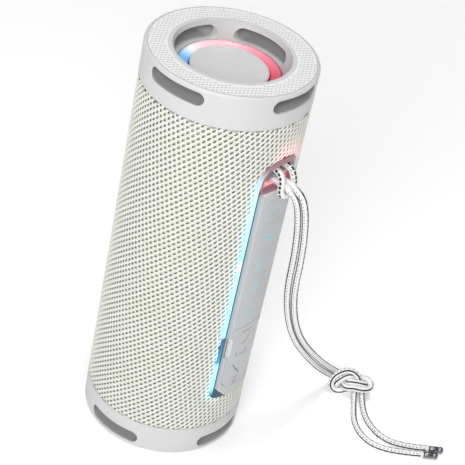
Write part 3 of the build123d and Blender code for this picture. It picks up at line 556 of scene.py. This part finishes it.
def make_dotted_ring(node, name, outward):
    """Flat ring with rows of sunk dots; outward is 1 on the top face and -1 on the underside."""
    low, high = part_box(node)
    outer = high.x
    face = high.z if outward > 0 else low.z
    back = low.z if outward > 0 else high.z

    def keep(flat):
        radius = math.hypot(*flat)
        held = min(max(radius, RING_IN_R), outer)
        return flat[0] * held / radius, flat[1] * held / radius

    def plain(centre):
        return not RING_IN_R + RING_BORDER < math.hypot(*centre) < outer - RING_BORDER

    along = np.array([math.cos(RING_TURN), math.sin(RING_TURN)])
    across = np.array([along[1], -along[0]])
    lattice = Lattice(across * RING_ROW - along * RING_SHIFT * RING_PITCH, along * RING_PITCH)
    count = int(outer / RING_PITCH) + SPARE_ROWS
    cells = [(i, j) for i in range(-count, count) for j in range(-count, count)
             if RING_IN_R - RING_MARGIN < math.hypot(*lattice.at(i, j)) < outer + RING_MARGIN]
    flat, faces = perforated(lattice, cells, lambda i, j: (i, j), RING_HOLE, 0.0, RING_FLOOR, keep, plain)
    points = [(x, y, face - outward * RING_SINK[level]) for x, y, level in flat]
    # six low vertices and six on the rim alternate; the low ones close a dot's floor
    lows = [k for k, (_, _, level) in enumerate(flat) if level == 2]
    faces += [tuple(k + 2 * m for m in range(6)) for k in lows[::6]]
    if outward < 0:
        faces = [tuple(reversed(f)) for f in faces]
    for radius in (RING_IN_R, outer):
        start = len(points)
        for k in range(RING_STEPS):
            angle = 2 * math.pi * k / RING_STEPS
            for z in (face, back):
                points.append((radius * math.cos(angle), radius * math.sin(angle), z))
        for k in range(RING_STEPS):
            a, b = start + 2 * k, start + 2 * ((k + 1) % RING_STEPS)
            faces.append((a, a + 1, b + 1, b))
    ring_piece = mesh_object(name, points, faces, texture)
    depths = ring_piece.data.attributes.new("depth", "FLOAT", "POINT")
    depths.data.foreach_set("value", [RING_DEPTH[level] for _, _, level in flat]
                            + [0.0] * (len(points) - len(flat)))
    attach(ring_piece, "body")
    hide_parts(node)


make_dotted_ring("top_texture_ring", "dotted_top_ring", 1)
make_dotted_ring("bottom_foot_ring", "dotted_foot_ring", -1)


# ---------------------------------------------------------------- marks on the keys and the cover
key_mark = Shader("key_mark", {"Roughness": 0.4, "Emission Strength": 0.05})
key_tone = key_mark.noise(900.0)
key_mark.to("Base Color", key_mark.mix(key_tone, (0.27, 0.58, 0.62), (0.35, 0.65, 0.68)))
key_mark.to("Emission Color", key_mark.mix(key_tone, (0.2, 0.75, 0.8), (0.3, 0.85, 0.9)))
cover_mark = moulded("cover_mark", (0.27, 0.275, 0.285), 0.5)


def bar_face_x(y):
    return BAR_HIGH.x - BAR_CROWN_R + math.sqrt(BAR_CROWN_R**2 - y * y)


STROKE_STEP = 0.3
# cross-section of a stroke: share of its half width, and mm above the face
STROKE_PROFILE = ((-1, -0.12), (-0.86, 0.08), (-0.4, 0.12), (0.4, 0.12), (0.86, 0.08), (1, -0.12))


def stroke(name, line, width, centre, shader, body):
    """A raised line with round ends on the crowned face of the bar; line is (y, z) in mm about centre."""
    route = [np.array(p) for p in line]
    samples = []
    for a, b in zip(route, route[1:]):
        steps = max(2, int(np.linalg.norm(b - a) / STROKE_STEP))
        samples += [a + (b - a) * k / steps for k in range(steps)]
    samples.append(route[-1])
    last = len(samples) - 1
    points, faces = [], []
    for k, p in enumerate(samples):
        ahead = samples[min(k + 1, last)] - samples[max(k - 1, 0)]
        ahead = ahead / np.linalg.norm(ahead)
        normal = np.array([-ahead[1], ahead[0]])
        from_end = min(k, last - k) * STROKE_STEP
        half = width / 2 * min(1.0, math.sqrt(max(0.05, 1 - (1 - min(from_end / (width / 2), 1))**2)))
        for share, lift in STROKE_PROFILE:
            q = p + normal * half * share
            y, z = centre[0] + q[0] * MM, centre[1] + q[1] * MM
            points.append((bar_face_x(y) + lift * MM, y, z))
    wide = len(STROKE_PROFILE)
    for k in range(last):
        for m in range(wide - 1):
            a = wide * k + m
            faces.append((a, a + 1, a + wide + 1, a + wide))
    faces.append(tuple(reversed(range(wide))))
    faces.append(tuple(wide * last + m for m in range(wide)))
    mark = mesh_object(name, points, faces, shader)
    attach(mark, body)


# each mark is a line through (y, z) points and its width, in mm; the key marks are about the key's middle
KEY_MARKS = {
    "power": [([(-3.2, -1.1), (5.0, -1.1)], 0.8)],
    "light": [([(1.1, 1.6), (2.0, -3.3)], 0.7), ([(-3.1, -0.2), (-0.8, -1.6), (1.9, -3.3)], 1.0)],
    "play": [([(-2.6, 3.8), (-3.7, 1.2), (-3.6, -0.9), (-2.0, -3.6), (0.7, -5.0)], 1.2)],
    "volume_up": [([(-0.4, 3.9), (-2.7, 2.4), (-2.2, 1.0)], 1.3),
                  ([(0.4, 1.2), (-1.8, -1.0), (-2.4, -3.0)], 1.4)],
    "volume_down": [([(-0.7, 1.9), (-3.2, 0.8), (-1.9, -1.4)], 1.1),
                    ([(1.2, -1.2), (-1.2, -3.4)], 1.1)],
}
for key, marks in KEY_MARKS.items():
    low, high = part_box(key + "_button")
    middle = (0.0, (low.z + high.z) / 2)
    for number, (line, width) in enumerate(marks, 1):
        stroke(f"{key}_mark_{number}", line, width, middle, key_mark, key + "_key")

COVER_MARKS = [
    ((0.2, 74.7), [(-3.8, 0.3), (0.0, -0.2), (3.7, 0.1)], 0.5),
    ((0.6, 68.6), [(-2.4, -1.4), (0.7, -0.7), (1.8, 1.9)], 0.6),
    ((0.5, 60.8), [(-2.3, -0.7), (1.7, -0.8), (2.3, 1.7)], 0.65),
    ((-3.7, 60.9), [(0.2, -1.4), (-0.2, 1.4)], 0.6),
    ((-1.8, 51.4), [(-3.1, 4.0), (0.2, -0.4), (3.0, -3.9)], 0.75),
    ((-0.4, 50.6), [(-2.0, 0.4), (0.9, 0.0)], 0.55),
    ((-0.6, 43.9), [(-1.1, -2.3), (-0.9, 1.7), (1.5, 1.6)], 0.5),
    ((0.0, 42.3), [(-1.0, -0.7), (1.0, 0.7)], 0.45),
]
for number, (centre, line, width) in enumerate(COVER_MARKS, 1):
    middle = (centre[0] * MM, centre[1] * MM)
    stroke(f"cover_mark_{number}", line, width, middle, cover_mark, "cover")

# ---------------------------------------------------------------- lanyard cords
CORD_D = 3.2 * MM
BRAID_SIDES = 24
BRAID_STEP = 0.5 * MM
BRAID_RELIEF = 0.07 * MM
BRAID_PITCH = 3.4 * MM
BRAID_CROSSINGS = 6
BRAID_MIDDLE = 0.6
STITCH = 1.9 * MM

braid = Shader("braid", {"Roughness": 0.75, "Sheen Weight": 0.3, "Specular IOR Level": 0.3})
uv = braid.add("SeparateXYZ", None, {0: braid.add("UVMap").outputs[0]}).outputs
run = uv["Y"]
# the tracer lines turn slowly round the cord on the way down
turn = braid.math("ADD", uv["X"], braid.math("MULTIPLY", 0.17, braid.between(run, 105 * MM, 215 * MM)))


def stitches(where, width, share):
    """Mask of a tracer line at a turn round the cord; share is how much of each stitch shows."""
    offset = braid.math("FRACT", braid.math("ADD", braid.math("SUBTRACT", turn, where), 0.5))
    near = braid.math("ABSOLUTE", braid.math("SUBTRACT", offset, 0.5))
    beat = braid.math("FRACT", braid.math("DIVIDE", run, STITCH))
    return braid.math("MULTIPLY", braid.until(near, 0.7 * width, width), braid.math("LESS_THAN", beat, share))


tone = braid.mix(braid.noise(1800.0), (0.78, 0.78, 0.78), (0.92, 0.92, 0.915))
# the wraps carry one bold dotted line, and the rest of the cord two thin solid lines
hitched = braid.until(run, 36.0 * MM, 42.0 * MM)
bold = braid.math("MULTIPLY", stitches(0.31, 0.07, 0.74), hitched)
solid = braid.math("MAXIMUM", stitches(0.965, 0.05, 1.1), stitches(0.275, 0.05, 1.1))
black_line = braid.math("MAXIMUM", bold, braid.math("MULTIPLY", solid, braid.less(hitched, 1.0)))
dots = braid.math("MAXIMUM", stitches(0.16, 0.03, 0.40), stitches(0.62, 0.03, 0.45))
tone = braid.mix(dots, tone, (0.22, 0.22, 0.23))
braid.to("Base Color", braid.mix(black_line, tone, (0.02, 0.022, 0.022)))
braid.bump(braid.noise(5200.0, 2.0), 0.4, 0.05 * MM)


# turn of the tracer lines round the two strands and round the tails; the tails and the knot start
# past the part of the cord that is hitched on the bar
STRAND_SPINS = {"a": 0.0, "b": 0.66}
TAIL_SPIN = 0.71
LOOSE_RUN = 60 * MM


def smooth_route(points):
    """Points along the smooth spline that has these control points."""
    curve = bpy.data.curves.new("route", "CURVE")
    curve.dimensions = "3D"
    spline = curve.splines.new("NURBS")
    spline.points.add(len(points) - 1)
    for target, p in zip(spline.points, points):
        target.co = (p[0] * MM, p[1] * MM, p[2] * MM, 1.0)
    spline.order_u = 3
    spline.use_endpoint_u = True
    curve.resolution_u = 24
    holder = bpy.data.objects.new("route", curve)
    bpy.context.scene.collection.objects.link(holder)
    bpy.context.view_layer.update()
    mesh = bpy.data.meshes.new_from_object(holder)
    route = np.array([v.co for v in mesh.vertices])
    bpy.data.objects.remove(holder)
    return route


def evenly(route, step):
    """Points at even steps along a route, and how far along it each one is."""
    runs = np.linalg.norm(np.diff(route, axis=0), axis=1)
    along = np.concatenate([[0.0], np.cumsum(runs)])
    places = np.linspace(0.0, along[-1], max(2, int(round(along[-1] / step)) + 1))
    return np.stack([np.interp(places, along, route[:, k]) for k in range(3)], axis=1), places


def braided_tube(name, routes, spin, first_run=0.0):
    """Tubes with a braided surface, one for each route.

    spin turns the tracer lines round them, and first_run is how far along its cord a route starts.
    """
    points, faces, coords = [], [], []
    for route in routes:
        line, places = evenly(route, BRAID_STEP)
        tangents = np.gradient(line, axis=0)
        tangents /= np.linalg.norm(tangents, axis=1)[:, None]
        side = np.cross(tangents[0], (0.0, 0.0, 1.0))
        side /= np.linalg.norm(side)
        start = len(points)
        for k, (centre, tangent) in enumerate(zip(line, tangents)):
            side = side - tangent * (side @ tangent)
            side /= np.linalg.norm(side)
            up = np.cross(tangent, side)
            for m in range(BRAID_SIDES):
                share = m / BRAID_SIDES
                angle = 2 * math.pi * (share + spin)
                one = math.cos(2 * math.pi * (BRAID_CROSSINGS * share + places[k] / BRAID_PITCH))
                two = math.cos(2 * math.pi * (BRAID_CROSSINGS * share - places[k] / BRAID_PITCH))
                radius = CORD_D / 2 + BRAID_RELIEF * (max(one, two) - BRAID_MIDDLE)
                points.append(centre + radius * (math.cos(angle) * side + math.sin(angle) * up))
        count = len(line)
        for k in range(count - 1):
            for m in range(BRAID_SIDES):
                n = (m + 1) % BRAID_SIDES
                a = start + BRAID_SIDES * k
                b = a + BRAID_SIDES
                faces.append((a + m, a + n, b + n, b + m))
                low, high = m / BRAID_SIDES, (m + 1) / BRAID_SIDES
                here, there = first_run + places[k], first_run + places[k + 1]
                coords += [(low, here), (high, here), (high, there), (low, there)]
        for ends, k in ((range(BRAID_SIDES - 1, -1, -1), 0), (range(BRAID_SIDES), count - 1)):
            faces.append(tuple(start + BRAID_SIDES * k + m for m in ends))
            coords += [(0.3, places[k])] * BRAID_SIDES
    tube = mesh_object(name, points, faces, braid)
    layer = tube.data.uv_layers.new(name="UVMap")
    layer.data.foreach_set("uv", [c for pair in coords for c in pair])
    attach(tube, "body")
    return tube


# the hitch over the pin, the fall of the two strands and their loose ends, in mm
WRAP_FRONT_X = 42.7
WRAP_BACK_X = 32.2
WRAP_TOP_Z = 165.0
LEAN = 1.6
WRAP_Y = 5.1
OVER_PIN_Y = 3.6
STRAND_Y = 1.75
HITCH_Y = 2.4
BIGHT_Z = 153.6
PASS_Z = 158.0
OUT_X = 47.7
OUT_RISE = 0.6
FALL = [
    (50.4, 6.8, 147.0), (50.1, 12.8, 122.0), (49.6, 14.8, 94.0), (49.0, 29.2, 62.0),
    (48.4, 55.2, 32.0), (47.0, 75.6, 12.5), (47.9, 82.8, 6.8),
]
# how far each strand lies from the middle of the pair, point by point of the fall
SIDEWAYS = [(1.7, 0.6, 0.0)] * 3 + [(1.2, 1.0, 0.6)] + [(0.5, 1.3, 1.1)] * 3
TAILS = {
    "1": [(62.7, 81.8, 4.4), (68.3, 74.6, 2.2), (76.7, 64.9, 1.8), (88.4, 60.5, 1.8), (100.3, 65.0, 1.8),
          (111.4, 76.2, 1.8)],
    "2": [(64.5, 85.5, 5.0), (70.6, 79.2, 2.2), (78.9, 72.7, 1.8), (89.6, 69.2, 1.8), (100.6, 72.1, 1.8),
          (110.7, 81.9, 1.8)],
}


def strand_points(side):
    """Control points of one strand: over the bight, round the pin, out through it and down."""
    top = [
        (WRAP_FRONT_X, HITCH_Y, BIGHT_Z),
        (WRAP_FRONT_X, HITCH_Y + side * WRAP_Y, BIGHT_Z),
        (WRAP_FRONT_X - LEAN, HITCH_Y + side * OVER_PIN_Y, WRAP_TOP_Z),
        (WRAP_BACK_X, HITCH_Y + side * OVER_PIN_Y, WRAP_TOP_Z),
        (WRAP_BACK_X, HITCH_Y + side * STRAND_Y, PASS_Z),
        (OUT_X + side * 1.0, HITCH_Y + side * STRAND_Y, PASS_Z + OUT_RISE),
    ]
    return top + [tuple(p + side * s for p, s in zip(point, apart)) for point, apart in zip(FALL, SIDEWAYS)]


strands, strand_routes = {}, {}
for letter, side in (("a", -1), ("b", 1)):
    strand_routes[letter] = smooth_route(strand_points(side))
    strands[letter] = braided_tube(f"braided_strand_{letter}", [strand_routes[letter]], STRAND_SPINS[letter])
    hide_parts(f"lanyard_strand_{letter}")

tails, tail_routes = {}, {}
for number, points in TAILS.items():
    tail_routes[number] = smooth_route(points)
    tails[number] = braided_tube(f"braided_tail_{number}", [tail_routes[number]], TAIL_SPIN, LOOSE_RUN)
    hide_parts(f"lanyard_tail_{number}")

# ---------------------------------------------------------------- crimped tips
tip_metal = brushed("tip_metal", (0.22, 0.225, 0.235), 0.35, (2600, 2600, 2600))
collar_plastic = moulded("tip_collar", (0.84, 0.84, 0.84), 0.35)
# radius and place along the tip, in mm
TIP_PROFILE = [
    (0.0, 0.0), (1.60, 0.0), (1.72, 0.1), (1.75, 0.3), (1.75, 1.3), (1.62, 1.5), (1.50, 1.6), (1.50, 2.3),
    (1.62, 2.45), (1.62, 6.2), (1.50, 6.35), (1.50, 6.6), (1.62, 6.75), (1.62, 8.4), (1.45, 8.8), (1.05, 9.0),
    (0.95, 8.85), (0.0, 8.8),
]
# the first four rows of faces are the plastic collar, and the metal is knurled along this span
COLLAR_ROWS = 4
TIP_SIDES = 28
KNURL = 0.03
KNURL_SPAN = (2.4, 6.3)


def make_tip(number):
    """Turned end fitting that goes on from the end of a tail."""
    route = tail_routes[number]
    end = route[-1]
    heading = Vector(route[-1] - route[-4]).normalized()
    turn = Vector((0, 0, 1)).rotation_difference(heading).to_matrix()
    points, faces = [], []
    for radius, along in TIP_PROFILE:
        for m in range(TIP_SIDES):
            angle = 2 * math.pi * m / TIP_SIDES
            knurl = KNURL if KNURL_SPAN[0] < along < KNURL_SPAN[1] and m % 2 else 0.0
            round_r = radius - knurl
            local = Vector((round_r * math.cos(angle), round_r * math.sin(angle), along)) * MM
            points.append(tuple(Vector(end) + turn @ local))
    for k in range(len(TIP_PROFILE) - 1):
        here, there = k * TIP_SIDES, (k + 1) * TIP_SIDES
        for m in range(TIP_SIDES):
            n = (m + 1) % TIP_SIDES
            faces.append((here + m, here + n, there + n, there + m))
    tip = mesh_object(f"crimped_tip_{number}", points, faces, tip_metal)
    tip.data.materials.append(collar_plastic.material)
    for face in tip.data.polygons[:COLLAR_ROWS * TIP_SIDES]:
        face.material_index = 1
    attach(tip, "body")
    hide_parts(f"lanyard_tip_{number}")
    return tip


tips = {number: make_tip(number) for number in TAILS}

# ---------------------------------------------------------------- knot
# Overhand knot of both strands, tied about KNOT: the path of the pair in its own axes, which are
# along the knot, up its leaning face and out of that face.
KNOT = np.array((56.4, 84.0, 6.3)) * MM
KNOT_AXES = np.array(((0.732, 0.657, 0.178), (-0.502, 0.344, 0.793), (0.461, -0.670, 0.582)))
KNOT_PATH = [
    (-6.9, 4.25, -2.8), (-4.0, 2.3, -4.0), (-0.3, -0.8, 0.3), (4.3, -2.6, 3.6), (8.4, -3.6, 3.0),
    (10.6, -1.6, 1.0), (8.7, 1.0, -1.0), (4.6, 1.0, -2.4), (0.2, -1.4, -4.2), (-4.2, -3.4, -2.4),
    (-7.8, -3.4, -0.4), (-8.8, 0.0, 1.6), (-6.4, 3.9, 2.6), (-1.8, 5.4, 3.0), (2.4, 4.0, 3.0),
    (4.4, 0.6, 2.6), (4.6, -2.6, -0.6), (4.75, -5.0, 2.6),
]
KNOT_STEP = 1.0 * MM
SIDE_BY_SIDE = 0.515 * CORD_D
FLOOR_GAP = 0.05 * MM
KNOT_GAP = CORD_D + 0.05 * MM
# one round of tightening: how much of an overlap is pushed out and how far at most, how strongly the
# cord keeps to its path, and how much of each bend and of each kink is taken out
TIGHTENING = 400
NEIGHBOURS = 5
PUSH = 0.17
PUSH_MOST = 0.4 * MM
HOLD = 0.03
EASE_BEND = 0.10
EASE_KINK = 0.25


def knot_routes():
    """Both strands through the knot, pushed apart until neither passes through the other."""
    middle = smooth_route(KNOT_PATH)
    heading = np.gradient(middle[:, :2], axis=0)
    heading /= np.linalg.norm(heading, axis=1)[:, None]
    beside = np.stack([-heading[:, 1], heading[:, 0], 0 * heading[:, 0]], axis=1)
    chains = []
    for letter, number, side in (("a", "1", -1), ("b", "2", 1)):
        chain = KNOT + (middle + beside * side * SIDE_BY_SIDE) @ KNOT_AXES
        chain[0] = strand_routes[letter][-1]
        chain[-1] = tail_routes[number][0]
        chains.append(evenly(chain, KNOT_STEP)[0])
    count = len(chains[0])
    points = np.vstack(chains)
    aim = points.copy()
    chain_of = np.repeat([0, 1], [len(c) for c in chains])
    place = np.concatenate([np.arange(len(c)) for c in chains])
    near = (chain_of[:, None] == chain_of) & (np.abs(place[:, None] - place) < NEIGHBOURS)
    ends = [0, count - 1, count, len(points) - 1]
    for turn_number in range(TIGHTENING):
        apart = points[:, None] - points
        distance = np.linalg.norm(apart, axis=2) + 1e-9
        push = np.clip(KNOT_GAP - distance, 0, None)
        push[near] = 0
        shift = (apart / distance[:, :, None] * push[:, :, None]).sum(axis=1) * PUSH
        size = np.linalg.norm(shift, axis=1)[:, None] + 1e-9
        shift *= np.minimum(1, PUSH_MOST / size)
        points += shift + HOLD * (1 - turn_number / TIGHTENING) * (aim - points)
        for first, last in ((0, count), (count, len(points))):
            chain = points[first:last]
            bend = np.zeros_like(chain)
            bend[1:-1] = (chain[:-2] + chain[2:]) / 2 - chain[1:-1]
            kink = np.zeros_like(chain)
            kink[2:-2] = (bend[1:-3] + bend[3:-1]) / 2 - bend[2:-2]
            points[first:last] = chain + EASE_BEND * bend - EASE_KINK * kink
        points[ends] = aim[ends]
        points[:, 2] = np.maximum(points[:, 2], CORD_D / 2 + FLOOR_GAP)
    return [points[:count], points[count:]]


knot = braided_tube("tied_knot", knot_routes(), 0.0, LOOSE_RUN)
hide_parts("lanyard_knot")

# ---------------------------------------------------------------- floor, light and camera
floor_mesh = bpy.data.meshes.new("floor")
floor_mesh.from_pydata([(-3, -3, 0), (3, -3, 0), (3, 3, 0), (-3, 3, 0)], [], [(0, 1, 2, 3)])
floor = bpy.data.objects.new("floor", floor_mesh)
bpy.context.scene.collection.objects.link(floor)
floor_paint = Shader("floor_paint", {"Roughness": 0.9, "Specular IOR Level": 0.1,
                                     "Emission Color": (1, 1, 1, 1)})
floor_paint.to("Base Color", floor_paint.mix(floor_paint.noise(3.0), (0.93, 0.93, 0.93), (0.95, 0.95, 0.95)))
# far from the lamps the floor glows more, so that it stays pale up to its edge
far = floor_paint.add("VectorMath", {"operation": "LENGTH"}, {0: floor_paint.place}).outputs["Value"]
floor_paint.to("Emission Strength", floor_paint.add("MapRange", {"interpolation_type": "SMOOTHSTEP"}, {
    "Value": far, "From Min": 0.35, "From Max": 1.6, "To Min": 0.21, "To Max": 0.72}).outputs[0])
floor_mesh.materials.append(floor_paint.material)

world = bpy.data.worlds.new("studio")
bpy.context.scene.world = world
world.use_nodes = True
world.node_tree.nodes["Background"].inputs["Color"].default_value = (1.0, 1.0, 1.0, 1.0)
world.node_tree.nodes["Background"].inputs["Strength"].default_value = 0.20
bpy.context.scene.view_settings.view_transform = "Standard"


def area_light(name, place, size, power):
    lamp = bpy.data.lights.new(name, "AREA")
    lamp.shape = "DISK"
    lamp.size = size
    lamp.energy = power
    holder = bpy.data.objects.new(name, lamp)
    holder.location = place
    aim = Vector((0, 0, HEIGHT / 2)) - Vector(place)
    holder.rotation_euler = aim.to_track_quat("-Z", "Y").to_euler()
    bpy.context.scene.collection.objects.link(holder)


area_light("key", (0.60, -1.15, 0.95), 0.8, 14.0)
area_light("top", (0.0, 0.0, 1.9), 0.8, 17.0)

VIEW_AZIMUTH = math.radians(34.5)
VIEW_ELEVATION = math.radians(35.58)
VIEW_ROLL = math.radians(12.65)
VIEW_DISTANCE = 0.729
VIEW_LENS = 120.54
VIEW_AIM = (17.03 * MM, 111.27 * MM)
right = Vector((math.cos(VIEW_AZIMUTH), math.sin(VIEW_AZIMUTH), 0.0))
back = Vector((math.sin(VIEW_AZIMUTH) * math.cos(VIEW_ELEVATION),
               -math.cos(VIEW_AZIMUTH) * math.cos(VIEW_ELEVATION), math.sin(VIEW_ELEVATION)))
up = back.cross(right)
camera_x = right * math.cos(VIEW_ROLL) + up * math.sin(VIEW_ROLL)
camera_y = back.cross(camera_x)
turning = Matrix((camera_x, camera_y, back)).transposed().to_4x4()
lens = bpy.data.cameras.new("camera")
lens.lens = VIEW_LENS
lens.sensor_width = 36.0
lens.clip_start = 0.01
camera = bpy.data.objects.new("camera", lens)
camera.matrix_world = Matrix.Translation(right * VIEW_AIM[0] + Vector((0, 0, VIEW_AIM[1]))
                                         + back * VIEW_DISTANCE) @ turning
bpy.context.scene.collection.objects.link(camera)
bpy.context.scene.camera = camera
